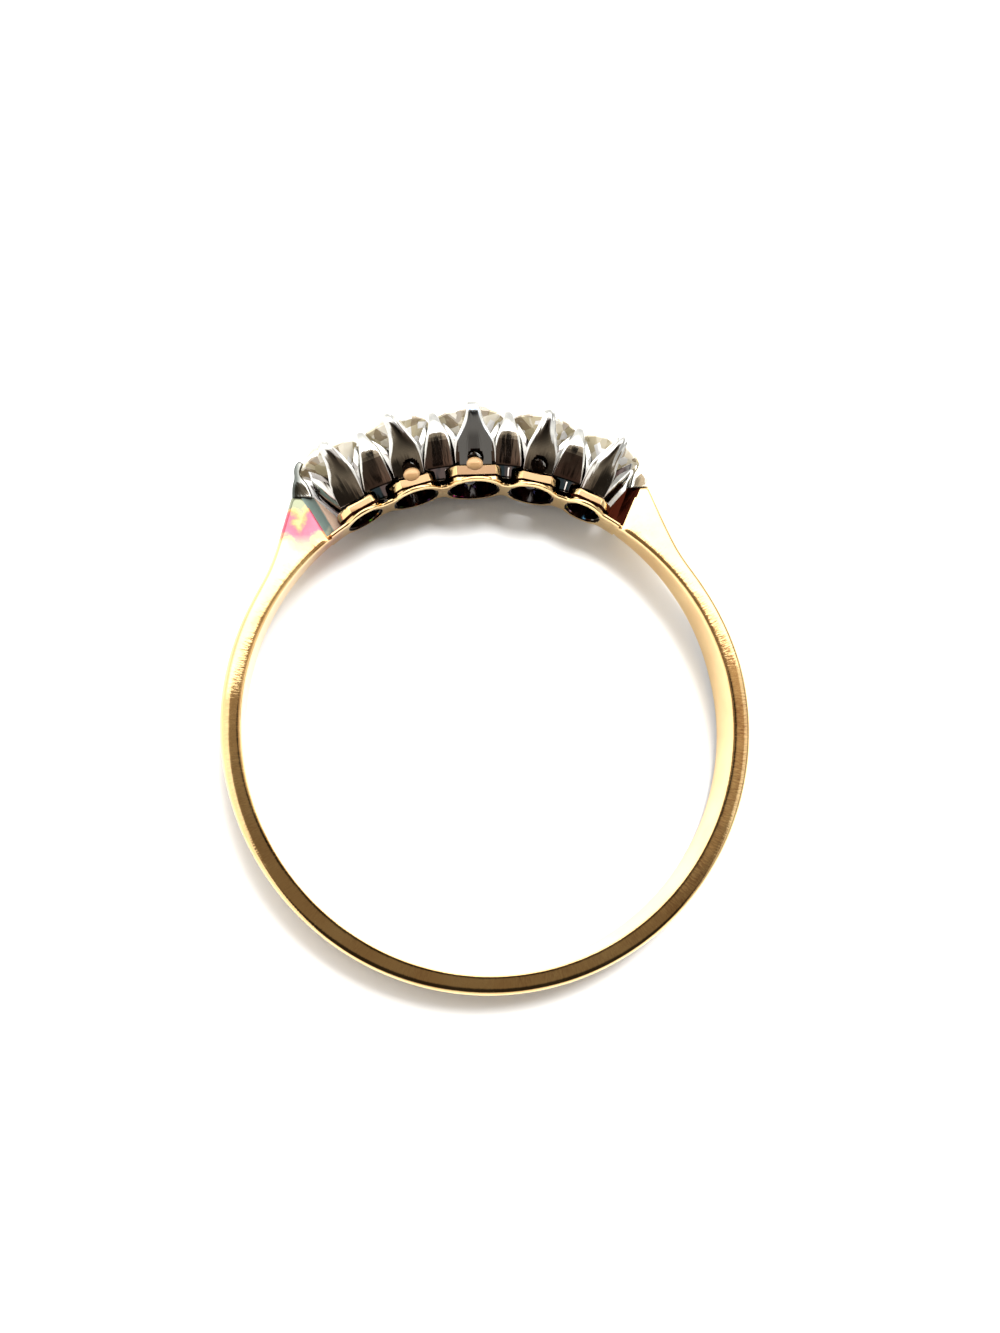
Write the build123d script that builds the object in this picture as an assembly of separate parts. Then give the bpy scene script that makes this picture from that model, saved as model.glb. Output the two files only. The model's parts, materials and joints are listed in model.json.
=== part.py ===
"""A five stone ring, lying on its side.

A yellow gold hoop of low D section flares into two shoulders. Between them the finger circle is carried
on by a scalloped gallery rail, with a round hole and a low gold base under each stone. On the bases stands
one soldered row of white-metal coronets, whose claws hold five old-cut stones, the largest in the middle.

Everything is drawn about the finger axis, along Z, with the head towards +Y. The head is wider along the
finger than the hoop, so the ring lies tilted, on the foot of the hoop and on the claws of its middle
stones. Each piece gets that small tilt last, about the centre of the finger hole, which is the origin.
Sizes are in millimetres. Angles are in degrees round the finger, from the middle of the head. "Out" is a
distance from the finger axis, "along" runs round the finger and "depth" runs with the finger.
"""

import os
from collections import namedtuple
from functools import cache
from math import atan, atan2, cos, degrees, hypot, radians, sin, sqrt

from build123d import *

# The hoop
finger_diameter = 17.3
hoop_width = 1.75
foot_thickness = 0.68
side_thickness = 0.74
dome_rise = 0.06

# The shoulders, which lean in towards the head and narrow from the taper's start
shoulder_top = 0.76
shoulder_lean = 18.0
shoulder_sweep = 0.10
shoulder_width = 0.90
shoulder_dome = 0.05
taper_start = 82.0
facet_length = 0.42
facet_depth = 0.26
end_overlap = 0.03

# The gallery rail, and the gold bases that stand on it
rail_thickness = 0.15
rail_waist = 1.10
lobe_rim = 0.19
base_height = 0.41
base_setback = 0.05
base_wall = 0.22
groove_height = 0.06
groove_depth = 0.10

# The white-metal collets
seam = 0.02
collet_height = 1.02
collet_setback = 0.13
collet_wall = 0.20
drilled_hole = 0.54
drilled_bite = 0.04

# The claws
girdle_height = 2.58
claw_standout = 0.21
claw_thickness = 0.26
claw_rise = 0.45
claw_band = 0.28
claw_bend = 0.09
claw_grip = 0.34
claw_nose = 0.11
claw_foot = 0.42
claw_foot_share = 0.4
claw_neck = 0.40
claw_tip = 0.32
gap_claw_width = 0.95
gap_claw_thickness = 0.36
gap_claw_inset = 0.12
gap_claw_heel = 0.12
gap_claw_tip = 0.34
end_claw_split = 0.24
end_claw_width = 0.38

# The stones
centre_stone = 2.76
side_stone = 2.68
end_stone = 2.42
stone_gap = 0.09
stone_seat = 0.02
table_share = 0.54
star_share = 0.45
crown_share = 0.18
girdle_share = 0.025
pavilion_share = 0.42
lower_share = 0.38
culet_share = 0.06

# One row for each size of stone, from the middle outwards. The gallery lobe, the flat front of the base
# and the base's length round the finger are shares of the stone's diameter. Turn is how the stone was set.
Seat = namedtuple("Seat", "diameter lobe front flank drilled turn")
SEATS = [
    Seat(diameter=centre_stone, lobe=0.83, front=0.52, flank=0.75, drilled=True, turn=4),
    Seat(diameter=side_stone, lobe=0.77, front=0.40, flank=0.74, drilled=True, turn=15),
    Seat(diameter=end_stone, lobe=0.73, front=0.39, flank=0.75, drilled=False, turn=9),
]

# How far a shared claw stands from the middle of the head at the girdle, as a share of the stones' radius,
# and the point that its pointed side bulges through, as shares of its half width and its height
GAP_CLAW_DEPTH = 0.78
GAP_CLAW_BELLY = (0.8, 0.65)

# Where the hoop's sections lie, as shares of the way from a shoulder's end to the foot
SECTION_SHARES = [0, 0.02, 0.04, 0.06, 0.09, 0.12, 0.16, 0.21, 0.28, 0.39, 0.53, 0.69, 0.85]
# How far the sections run on past the shoulder's end, to be cut off there, in degrees
SECTION_OVERRUN = 3.0

finger_radius = finger_diameter / 2
rail_radius = finger_radius + rail_thickness
base_top = rail_radius + base_height
collet_foot = base_top + seam
collet_top = collet_foot + collet_height
girdle_radius = finger_radius + girdle_height
claw_top = girdle_radius + claw_rise
# Inside the finger circle, where pieces start before the finger hole is cut, and well past the ring
inside = finger_radius - foot_thickness / 4
beyond = finger_diameter


def row_angles():
    """Angles of the middle, side and end stones, from their diameters, the gap and the girdle's radius."""
    angles = [0.0]
    for inner, outer in zip(SEATS, SEATS[1:]):
        spacing = (inner.diameter + outer.diameter) / 2 + stone_gap
        angles.append(angles[-1] + degrees(spacing / girdle_radius))
    return angles


middle, side, end = row_angles()
# Every stone in order round the head, as its angle and its row of the table
ROW = list(zip([-end, -side, middle, side, end], SEATS[:0:-1] + SEATS))


def at(angle, along, out):
    """Point of the XY plane, given along and out from a place round the finger."""
    a = radians(angle)
    return (along * cos(a) + out * sin(a), out * cos(a) - along * sin(a))


def turned(shape, angle):
    """Shape drawn at the middle of the head, moved round the finger to an angle."""
    return Rot(0, 0, -angle) * shape


def revolved(outline):
    """Solid of revolution about the +Y axis, from an outline of (radius, out) points."""
    return revolve(make_face(Polyline(*outline, close=True)), axis=Axis.Y)


def drum(radius, start, stop):
    """Round bar along +Y between two distances out."""
    return revolved([(0, start), (radius, start), (radius, stop), (0, stop)])


# The shoulder's inner corner lies beside the end stone, level with the top of its collet
corner = at(end, end_stone / 2, collet_top)
shoulder_end = degrees(atan2(*corner))


def outer_radius(angle):
    """Radius of the hoop's crest: an offset circle, swept into the shoulder's leaning line."""
    lean = radians(shoulder_lean)
    side_radius = finger_radius + side_thickness
    circle = side_radius - (foot_thickness - side_thickness) * cos(radians(angle))
    distance = (corner[0] + shoulder_top) * cos(lean) + corner[1] * sin(lean)
    line = distance / cos(radians(max(90 - shoulder_lean - angle, 0)))
    return (line + circle) / 2 + sqrt(((line - circle) / 2) ** 2 + shoulder_sweep**2)


def faded(angle, at_shoulder, at_hoop):
    """Size that changes evenly from the shoulder's end to the taper's start, and then stays."""
    share = (angle - shoulder_end) / (taper_start - shoulder_end)
    return at_shoulder + (at_hoop - at_shoulder) * min(max(share, 0), 1)


def section_plane(angle):
    """Plane across the hoop at an angle: x out from the finger axis, y with the finger."""
    a = radians(angle)
    return Plane(origin=(0, 0, 0), x_dir=(sin(a), cos(a), 0), z_dir=(cos(a), -sin(a), 0))


def hoop_section(angle):
    """Section of the hoop at an angle: flat sides and a domed outside."""
    from_head = min(angle, 360 - angle)
    half = faded(from_head, shoulder_width, hoop_width) / 2
    crest = outer_radius(from_head)
    edge = crest - faded(from_head, shoulder_dome, dome_rise)
    outline = [
        Line((inside, -half), (edge, -half)),
        ThreePointArc((edge, -half), (crest, 0), (edge, half)),
        Line((edge, half), (inside, half)),
        Line((inside, half), (inside, -half)),
    ]
    return section_plane(angle) * make_face(outline)


def end_facet():
    """Wedge that takes the corner off one side of a shoulder's end and leaves a web beside the end base."""
    start, half = end_stone / 2, shoulder_width / 2
    outline = [
        (0, half - facet_depth),
        (start, half - facet_depth),
        (start + 2 * facet_length, half + facet_depth),
        (0, half + facet_depth),
    ]
    return prism(outline, inside, claw_top)


def make_hoop():
    """Hoop and shoulders, cut level at their tops. Their ends lean down to the end bases, as the collets do."""
    start = shoulder_end - SECTION_OVERRUN
    near = [start + share * (180 - start) for share in SECTION_SHARES]
    hoop = loft([hoop_section(a) for a in near + [180] + [360 - a for a in reversed(near)]])
    seat = SEATS[-1]
    meeting = seat.flank * seat.diameter / 2 - end_overlap
    slope = (end_stone / 2 - meeting) / (collet_top - base_top)
    foot = at(end, end_stone / 2 - slope * (collet_top - inside), inside)
    half_outline = [foot, corner, (corner[0] + beyond, corner[1]), (corner[0] + beyond, beyond)]
    other_half = [(-x, y) for x, y in reversed(half_outline)]
    head_room = make_face(Polyline(*half_outline, *other_half, close=True))
    right_facet = turned(end_facet(), end)
    facets = right_facet + mirror(right_facet, about=Plane.YZ)
    return hoop - extrude(head_room, amount=beyond, both=True) - facets - mirror(facets, about=Plane.XY)


def lobe_radius(seat):
    return seat.lobe * seat.diameter / 2


def base_depth(seat):
    """Half the depth of the gold base, and of the collet's wide claws where they stand on it."""
    return lobe_radius(seat) - base_setback


def base_outline(seat, inset):
    """Eight-sided plan of a gold base at the middle of the head, its faces moved in by the inset."""
    front = seat.front * seat.diameter / 2
    flank = seat.flank * seat.diameter / 2
    depth = base_depth(seat)
    back = depth - (flank - front)
    depth, flank = depth - inset, flank - inset
    quarter = [(front, depth), (flank, back)]
    left = [(-x, z) for x, z in reversed(quarter)]
    return quarter[::-1] + left[::-1] + [(x, -z) for x, z in left] + [(x, -z) for x, z in quarter]


def prism(outline, start, stop):
    """Prism along +Y between two distances out, from a plan of (along, depth) points."""
    plan = Plane(origin=(0, start, 0), x_dir=(1, 0, 0), z_dir=(0, 1, 0))
    return extrude(plan * make_face(Polyline(*outline, close=True)), amount=stop - start)


@cache
def make_base(seat):
    """Gold base of one stone: a short neck on the rail and an eight-sided block, both hollow."""
    neck = prism(base_outline(seat, groove_depth), inside, rail_radius + groove_height)
    block = prism(base_outline(seat, 0), rail_radius + groove_height, base_top)
    return neck + block


def drill(seat):
    """Small hole drilled from front to back through the foot of the wide claws and just into the base."""
    out = base_top - drilled_bite + drilled_hole / 2
    return Pos(0, out, 0) * Cylinder(drilled_hole / 2, 2 * seat.diameter)


def make_shank():
    """All the gold, soldered together: hoop, shoulders, gallery rail and bases, with the finger hole cut."""
    rail_reach = shoulder_end + SECTION_OVERRUN
    strip = Pos((inside + rail_radius) / 2, 0) * Rectangle(rail_radius - inside, rail_waist)
    rail = revolve(section_plane(rail_reach) * strip, axis=Axis.Z, revolution_arc=2 * rail_reach)
    solids = [make_hoop(), rail]
    rail_cylinder = Cylinder(rail_radius, beyond)
    holes = [Cylinder(finger_radius, beyond)]
    for angle, seat in ROW:
        lobe = drum(lobe_radius(seat), inside, rail_radius) & rail_cylinder
        solids += [turned(lobe, angle), turned(make_base(seat), angle)]
        holes.append(turned(drum(base_depth(seat) - base_wall, inside, claw_top), angle))
        holes.append(turned(drum(lobe_radius(seat) - lobe_rim, 0, rail_radius), angle))
        if seat.drilled:
            holes.append(turned(drill(seat), angle))
    return Part() + solids - holes


def ogee(start, stop, share):
    """Two tangent arcs from one point to another further out, with both ends pointing straight out."""
    across, up = start[0] - stop[0], stop[1] - start[1]
    bend = 2 * atan(across / up)
    total = up / sin(bend)
    first, second = share * total, (1 - share) * total
    turn = degrees(bend)
    return [
        CenterArc((start[0] - first, start[1]), first, 0, turn),
        CenterArc((stop[0] + second, stop[1]), second, 180 + turn, -turn),
    ]


def symmetric_face(right_half):
    """Face from the edges of its right half, which start and stop on the Y axis."""
    left_half = [mirror(edge, about=Plane.YZ) for edge in right_half]
    return make_face(right_half + left_half)


def claw_profile(foot_depth, girdle_depth, grip_depth, thickness):
    """Claw seen from the side: flared to the girdle, upright in a short band, then bent in over the crown."""
    low, high = girdle_radius - claw_band / 2, girdle_radius + claw_band / 2
    outline = Polyline(
        (collet_foot, foot_depth),
        (low, girdle_depth),
        (high, girdle_depth),
        (claw_top, girdle_depth - claw_nose - claw_standout),
        (claw_top - claw_nose, grip_depth),
        (low, girdle_depth - thickness),
        (collet_foot, foot_depth - thickness),
        close=True,
    )
    face = make_face(outline)
    bends = face.vertices().group_by(Axis.Y)[-1]
    return extrude(Plane.YZ * fillet(bends, claw_bend), amount=beyond, both=True)


@cache
def make_front_claw(seat):
    """Wide front claw: a broad foot as wide as the base's flat front, an ogee neck and a narrow tip."""
    front, neck, tip = seat.front * seat.diameter / 2, claw_neck / 2, claw_tip / 2
    foot_top = collet_foot + claw_foot
    right_half = [
        Line((0, collet_foot), (front, collet_foot)),
        Line((front, collet_foot), (front, foot_top)),
        *ogee((front, foot_top), (neck, girdle_radius), claw_foot_share),
        Line((neck, girdle_radius), (tip, claw_top - tip)),
        CenterArc((0, claw_top - tip), tip, 0, 90),
    ]
    radius = seat.diameter / 2
    silhouette = extrude(symmetric_face(right_half), amount=beyond)
    return silhouette & claw_profile(
        base_depth(seat), radius + claw_standout, radius - claw_grip, claw_thickness)


def make_gap_claw(seat, neighbour):
    """Pointed claw shared by two stones, in the front of the gap between them, above their bases' corners."""
    half, tip = gap_claw_width / 2, gap_claw_tip / 2
    foot = seam + max(hypot(base_top, row.flank * row.diameter / 2) for row in (seat, neighbour))
    heel = (half, foot + gap_claw_heel)
    top = (tip, claw_top - tip / 2)
    belly = (GAP_CLAW_BELLY[0] * half, foot + GAP_CLAW_BELLY[1] * (claw_top - foot))
    right_half = [
        TangentArc((0, foot), heel, tangent=(1, 0)),
        ThreePointArc(heel, belly, top),
        Line(top, (0, claw_top)),
    ]
    foot_depth = (base_depth(seat) + base_depth(neighbour)) / 2 - gap_claw_inset
    girdle_depth = GAP_CLAW_DEPTH * (seat.diameter + neighbour.diameter) / 4
    grip_depth = girdle_depth - gap_claw_thickness - claw_nose
    silhouette = extrude(symmetric_face(right_half), amount=beyond)
    return silhouette & claw_profile(foot_depth, girdle_depth, grip_depth, gap_claw_thickness)


def make_end_claws():
    """Claws on the right shoulder: a split pair that leans from the shoulder's top over the end stone."""
    radius = end_stone / 2
    outline = [
        (corner[0] - stone_seat, corner[1] + seam),
        (corner[0] + shoulder_top, corner[1] + seam),
        at(end, radius + claw_standout, girdle_radius),
        at(end, radius - claw_nose, claw_top - claw_nose),
        at(end, radius - claw_grip, claw_top - 2 * claw_nose),
        at(end, radius - claw_standout, girdle_radius),
        at(end, radius - claw_standout - collet_wall, collet_top - claw_foot),
        at(end, radius - collet_wall, collet_top - claw_foot),
    ]
    plate = make_face(Polyline(*outline, close=True))
    return Pos(0, 0, end_claw_split / 2) * extrude(plate, amount=end_claw_width)


@cache
def collet(seat):
    """Tapered tube of one coronet, set back behind its claws."""
    foot = base_depth(seat) - collet_setback
    top = seat.diameter / 2 - collet_setback
    outline = [(foot, collet_foot), (top, collet_top)]
    return revolved(outline + [(radius - collet_wall, out) for radius, out in reversed(outline)])


def stone_room(seat):
    """Room that a stone takes with its clearance: its cone, girdle and crown, and all above its table."""
    radius = seat.diameter / 2
    half_girdle = girdle_share * seat.diameter / 2 + stone_seat
    culet_out = girdle_radius - half_girdle - pavilion_share * seat.diameter
    table_out = girdle_radius + half_girdle + crown_share * seat.diameter
    table_radius = table_share * radius + stone_seat
    return revolved([
        (0, culet_out),
        (culet_share * radius + stone_seat, culet_out),
        (radius + stone_seat, girdle_radius - half_girdle),
        (radius + stone_seat, girdle_radius + half_girdle),
        (table_radius, table_out),
        (table_radius, beyond),
        (0, beyond),
    ])


def make_claw_setting():
    """All the white metal, soldered together: five coronets with shared claws at the gaps and the ends."""
    right_end = make_end_claws()
    fronts = [right_end, mirror(right_end, about=Plane.YZ)]
    fronts += [turned(make_front_claw(seat), angle) for angle, seat in ROW]
    for (angle, seat), (next_angle, neighbour) in zip(ROW, ROW[1:]):
        fronts.append(turned(make_gap_claw(seat, neighbour), (angle + next_angle) / 2))
    solids = fronts + [mirror(claw, about=Plane.XY) for claw in fronts]
    solids += [turned(collet(seat), angle) for angle, seat in ROW]
    rooms = [turned(stone_room(seat), angle) for angle, seat in ROW]
    rooms += [turned(drill(seat), angle) for angle, seat in ROW if seat.drilled]
    return Part() + solids - rooms


def ring_of(count, radius, height, offset):
    """Corners of a regular polygon in the stone's own frame, the first at the offset angle."""
    step = 360 / count
    turns = [radians(offset + i * step) for i in range(count)]
    return [(radius * cos(t), radius * sin(t), height) for t in turns]


def make_stone(seat):
    """Old-cut brilliant about its own axis, girdle at zero: table, stars, kites, halves, mains and culet."""
    radius, eighth = seat.diameter / 2, 360 / 8
    flat = cos(radians(eighth / 2))
    girdle = girdle_share * seat.diameter / 2
    crown, pavilion = crown_share * seat.diameter, pavilion_share * seat.diameter
    table_radius, culet_radius = table_share * radius, culet_share * radius
    star_radius = table_radius + star_share * (radius - table_radius)
    lower_radius = culet_radius + lower_share * (radius - culet_radius)
    star_drop = (star_radius * flat - table_radius) / (radius - table_radius)
    lower_rise = (lower_radius * flat - culet_radius) / (radius - culet_radius)
    table = ring_of(8, table_radius, girdle + crown, 0)
    stars = ring_of(8, star_radius, girdle + crown * (1 - star_drop), eighth / 2)
    top = ring_of(16, radius, girdle, 0)
    bottom = ring_of(16, radius, -girdle, 0)
    lowers = ring_of(8, lower_radius, -girdle - pavilion * (1 - lower_rise), eighth / 2)
    culet = ring_of(8, culet_radius / flat, -girdle - pavilion, eighth / 2)
    facets = [table, culet]
    for i in range(8):
        here, half, after, before = 2 * i, 2 * i + 1, (2 * i + 2) % 16, i - 1
        facets += [
            [table[i], table[(i + 1) % 8], stars[i]],
            [table[i], stars[i], top[here], stars[before]],
            [stars[i], top[half], top[here]],
            [stars[i], top[after], top[half]],
            [top[here], top[half], bottom[half], bottom[here]],
            [top[half], top[after], bottom[after], bottom[half]],
            [lowers[i], bottom[here], bottom[half]],
            [lowers[i], bottom[half], bottom[after]],
            [culet[before], lowers[before], bottom[here], lowers[i], culet[i]],
        ]
    return Solid(Shell([Face(Wire.make_polygon(corners, close=True)) for corners in facets]))


def placed_stone(angle, seat):
    """Stone turned to face out of its seat, with its girdle at the girdle's radius."""
    facing_out = Pos(0, girdle_radius, 0) * Rot(-90, 0, 0) * Rot(0, 0, seat.turn)
    return turned(facing_out * make_stone(seat), angle)


# The lying ring touches the floor at the foot's lower edge and at the middle claws' upright bands
foot_reach = finger_radius + foot_thickness - dome_rise
head_reach = girdle_radius + claw_band / 2
head_depth = centre_stone / 2 + claw_standout
tilt = degrees(atan((head_depth - hoop_width / 2) / (foot_reach + head_reach)))

pieces = {"shank": make_shank(), "claw_setting": make_claw_setting()}
for number, (angle, seat) in enumerate(ROW, start=1):
    pieces[f"stone_{number}"] = placed_stone(angle, seat)

os.makedirs("parts", exist_ok=True)
for name, piece in pieces.items():
    lying = Rot(tilt, 0, 0) * piece
    export_step(lying, f"parts/{name}.step")
    lowest = lying.bounding_box().min.Z
    print(name, f"{lying.volume:.2f} mm3, lowest point {lowest:.3f}, solids {len(lying.solids())}")
print(f"stones at {side:.2f} and {end:.2f} degrees, shoulders end at {shoulder_end:.2f}, tilt {tilt:.2f}")
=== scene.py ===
# %% [markdown]
# # A five stone ring, lying on its side
#
# The ring is made of three things: yellow gold for the hoop, the shoulders and the pierced rail under the
# stones, white metal for the claws, and five old-cut clear stones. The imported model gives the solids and
# their places. This lesson gives the metal its soft filed edges and its wear, and makes the stones clear.
#
# The frame comes first, because every new piece is placed by it. The ring's own frame is turned about X by
# a small tilt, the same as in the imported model, because the ring lies on its foot and on its wider head.

# %% Load the frame
import json
from collections import namedtuple
from functools import partial

import bmesh
import bpy
import numpy as np
from mathutils import Matrix, Vector


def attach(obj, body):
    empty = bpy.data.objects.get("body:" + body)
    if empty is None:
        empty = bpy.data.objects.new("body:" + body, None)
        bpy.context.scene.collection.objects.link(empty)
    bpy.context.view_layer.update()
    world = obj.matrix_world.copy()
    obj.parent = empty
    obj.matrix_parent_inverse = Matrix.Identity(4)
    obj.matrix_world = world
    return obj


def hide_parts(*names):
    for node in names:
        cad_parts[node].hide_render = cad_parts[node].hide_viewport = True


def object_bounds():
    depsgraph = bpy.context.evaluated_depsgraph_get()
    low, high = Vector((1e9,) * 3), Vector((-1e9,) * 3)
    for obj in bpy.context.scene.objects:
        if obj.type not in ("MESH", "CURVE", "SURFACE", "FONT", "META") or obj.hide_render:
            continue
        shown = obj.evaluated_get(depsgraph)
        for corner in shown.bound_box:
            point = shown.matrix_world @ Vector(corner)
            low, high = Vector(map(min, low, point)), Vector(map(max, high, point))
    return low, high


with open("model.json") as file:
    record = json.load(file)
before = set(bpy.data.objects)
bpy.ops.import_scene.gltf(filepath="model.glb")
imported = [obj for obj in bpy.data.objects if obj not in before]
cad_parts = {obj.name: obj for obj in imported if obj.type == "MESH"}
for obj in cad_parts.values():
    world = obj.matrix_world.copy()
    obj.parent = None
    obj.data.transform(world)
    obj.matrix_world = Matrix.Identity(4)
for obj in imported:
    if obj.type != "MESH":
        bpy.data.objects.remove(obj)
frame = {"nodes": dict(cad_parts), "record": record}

cad_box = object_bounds()
scene = bpy.context.scene
finger_bore = frame["record"]["mounts"][0]
finger_radius = finger_bore["dims"]["r_mm"]
tilt = np.arctan2(-finger_bore["axis"][1], finger_bore["axis"][2])
print("finger hole", 2 * finger_radius, "mm across, tilt", round(np.degrees(tilt), 2), "degrees")

# %% [markdown]
# ## Places on the ring
#
# Pieces are drawn in millimetres at the middle of the head: x runs round the finger, y points out from it
# and z runs along it. One function swings them round the finger to their own angle, clockwise as seen in
# the photograph, and another lays them down with the tilt and turns millimetres into Blender's metres.

# %% Swing round the finger, and lay down
def polar(angle, radius):
    """Point at an angle from the head's middle, clockwise: x = radius sin(angle), y = radius cos(angle)."""
    a = np.radians(angle)
    return np.stack([radius * np.sin(a), radius * np.cos(a)], -1)


def round_finger(points):
    """Angle of points round the finger, clockwise from the head's middle, and distance from its axis."""
    x, y = points[..., 0], points[..., 1]
    return np.degrees(np.arctan2(x, y)), np.hypot(x, y)


def swing(points, angle):
    """Turns points clockwise about Z: x' = x cos + y sin, y' = y cos - x sin."""
    a = np.radians(angle)
    x, y, z = np.moveaxis(np.asarray(points, float), -1, 0)
    return np.stack([x * np.cos(a) + y * np.sin(a), y * np.cos(a) - x * np.sin(a), z], -1)


def lay(points):
    """Turns points about X by the tilt: y' = y cos - z sin, z' = y sin + z cos, and then to metres."""
    x, y, z = np.moveaxis(np.asarray(points, float), -1, 0)
    c, s = np.cos(tilt), np.sin(tilt)
    return np.stack([x, y * c - z * s, y * s + z * c], -1) / 1000


def ease(x, low, high):
    """Share of the way from low to high, slow at both ends: 3t squared minus 2t cubed."""
    t = np.clip((x - low) / (high - low), 0, 1)
    return t * t * (3 - 2 * t)


# %% [markdown]
# ## From a grid to a closed shell
#
# Each form is a grid of points: loops, one after another, each with the same number of points. Quads join
# the loops. The ends are closed by a fan to their middle, or the last loop joins the first, as on a tube
# bent to a ring. The signed volume tells whether the faces point outwards, and turns them if they don't.

# %% Shells from grids
def shell(grid, endless=False):
    """Closed shell of a grid (loops, points round, xyz). Each quad joins two points of a loop to the next."""
    loops, around = grid.shape[:2]
    index = np.arange(loops * around).reshape(loops, around)
    beside = np.roll(index, -1, axis=1)
    last = loops if endless else loops - 1
    after, after_beside = np.roll(index, -1, axis=0), np.roll(beside, -1, axis=0)
    quads = np.stack([index, beside, after_beside, after], -1)[:last].reshape(-1, 4)
    points = grid.reshape(-1, 3)
    triangles = np.concatenate([quads[:, [0, 1, 2]], quads[:, [0, 2, 3]]])
    fans = np.empty((0, 3), int)
    if not endless:
        middles = [len(points), len(points) + 1]
        points = np.concatenate([points, grid[[0, -1]].mean(axis=1)])
        fans = np.concatenate([np.stack([beside[0], index[0], np.full(around, middles[0])], -1),
                               np.stack([index[-1], beside[-1], np.full(around, middles[1])], -1)])
        triangles = np.concatenate([triangles, fans])
    a, b, c = points[triangles[:, 0]], points[triangles[:, 1]], points[triangles[:, 2]]
    if (a * np.cross(b, c)).sum() < 0:
        quads, fans = quads[:, ::-1], fans[:, ::-1]
    return points, quads.tolist() + fans.tolist()


def with_flat_ends(grid, inset):
    """Adds loops inside both ends, a little and then half-way to the middle, so that the rim stays crisp."""
    def inner(loop):
        """The two loops inside an end loop, from the middle outwards."""
        middle = loop.mean(axis=0)
        size = np.linalg.norm(loop - middle, axis=1).mean()
        return [middle + (loop - middle) * share for share in (0.5, 1 - inset / size)]
    return np.stack([*inner(grid[0]), *grid, *inner(grid[-1])[::-1]])


# %% [markdown]
# ## Finishing a shell
#
# Few loops make a soft form when they are subdivided: the surface becomes a smooth spline through the
# cage, and loops that lie close together keep an edge. Holes are cut by a Boolean modifier. The result is
# applied, so that the shells of one soldered piece can be joined into one mesh.

# %% Meshes, modifiers and pieces
def put(name, data):
    """Object of a mesh, a lamp or a camera, in the scene."""
    thing = bpy.data.objects.new(name, data)
    scene.collection.objects.link(thing)
    return thing


def as_object(name, grid, angle=0.0, endless=False):
    """Object of a grid's shell, swung to its angle and laid down with the tilt."""
    points, faces = shell(swing(grid, angle), endless)
    mesh = bpy.data.meshes.new(name)
    mesh.from_pydata(lay(points).tolist(), [], faces)
    mesh.update()
    return put(name, mesh)


def finished(grid, angle=0.0, endless=False, levels=2, cutters=(), bevel=0.0):
    """Mesh of a grid's shell, subdivided, cut and bevelled. The bevel's width is in mm."""
    thing = as_object("shell", grid, angle, endless)
    if levels:
        smooth = thing.modifiers.new("smooth", "SUBSURF")
        smooth.levels = smooth.render_levels = levels
    for cutter in cutters:
        cut = thing.modifiers.new("cut", "BOOLEAN")
        cut.object, cut.operation, cut.solver = cutter, "DIFFERENCE", "EXACT"
    if bevel:
        soften = thing.modifiers.new("soften", "BEVEL")
        soften.width, soften.segments, soften.angle_limit = bevel / 1000, 1, np.radians(35)
    graph = bpy.context.evaluated_depsgraph_get()
    mesh = bpy.data.meshes.new_from_object(thing.evaluated_get(graph), depsgraph=graph)
    for spent in (thing, *cutters):
        bpy.data.objects.remove(spent)
    return mesh


def solder(name, meshes, node, material, marks, crease):
    """Joins meshes into one piece that replaces a CAD node, smooth except at edges sharper than the crease.
    Marks gives each face named shares, from its middle in mm and its normal, in the ring's own frame."""
    joined = bmesh.new()
    for mesh in meshes:
        joined.from_mesh(mesh)
    mesh = bpy.data.meshes.new(name)
    joined.to_mesh(mesh)
    joined.free()
    mesh.polygons.foreach_set("use_smooth", np.ones(len(mesh.polygons), bool))
    mesh.set_sharp_from_angle(angle=np.radians(crease))
    mesh.materials.clear()
    mesh.materials.append(material)
    to_ring = lay(np.eye(3)).T * 1000
    faces = []
    for measure in ("center", "normal"):
        values = np.empty(len(mesh.polygons) * 3)
        mesh.polygons.foreach_get(measure, values)
        faces.append(values.reshape(-1, 3) @ to_ring)
    for title, share in marks(faces[0] * 1000, faces[1]).items():
        mark = mesh.attributes.new(title, "FLOAT", "FACE")
        mark.data.foreach_set("value", share.astype(np.float32))
    piece = put(name, mesh)
    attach(piece, "root")
    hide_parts(node)
    print(name, len(mesh.polygons), "faces")


def drum(radius, start, stop, around=64):
    """Round bar for cutting: a circle carried along y from start to stop."""
    turn = np.linspace(0, 2 * np.pi, around, endpoint=False)
    circle = np.stack([radius * np.cos(turn), 0 * turn, radius * np.sin(turn)], -1)
    return np.stack([circle + [0, level, 0] for level in (start, stop)])


# %% [markdown]
# ## Gold, white metal and stone
#
# A finish is a small tree of nodes. One function adds a node with its settings and links. Colours are
# written as they look on a screen, in hex, and turned into the linear values that light works with. Wear
# and dirt are layers of colour, each mixed over the last by its own share.

# %% Colours and nodes
def linear(code):
    """Linear colour of an sRGB hex code: below 0.04045 it is c / 12.92, above ((c + 0.055) / 1.055) ^ 2.4."""
    c = np.array([int(code[i:i + 2], 16) for i in (1, 3, 5)]) / 255
    c = np.where(c <= 0.04045, c / 12.92, ((c + 0.055) / 1.055) ** 2.4)
    return (*c.tolist(), 1.0)


# The inputs of a map range: what it follows, the two places between which it runs, and its value at each
SPAN = ("Value", "From Min", "From Max", "To Min", "To Max")
# The inputs of a mix: the share of the second colour, and both colours
MIX = ("Factor", "A", "B")


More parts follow.
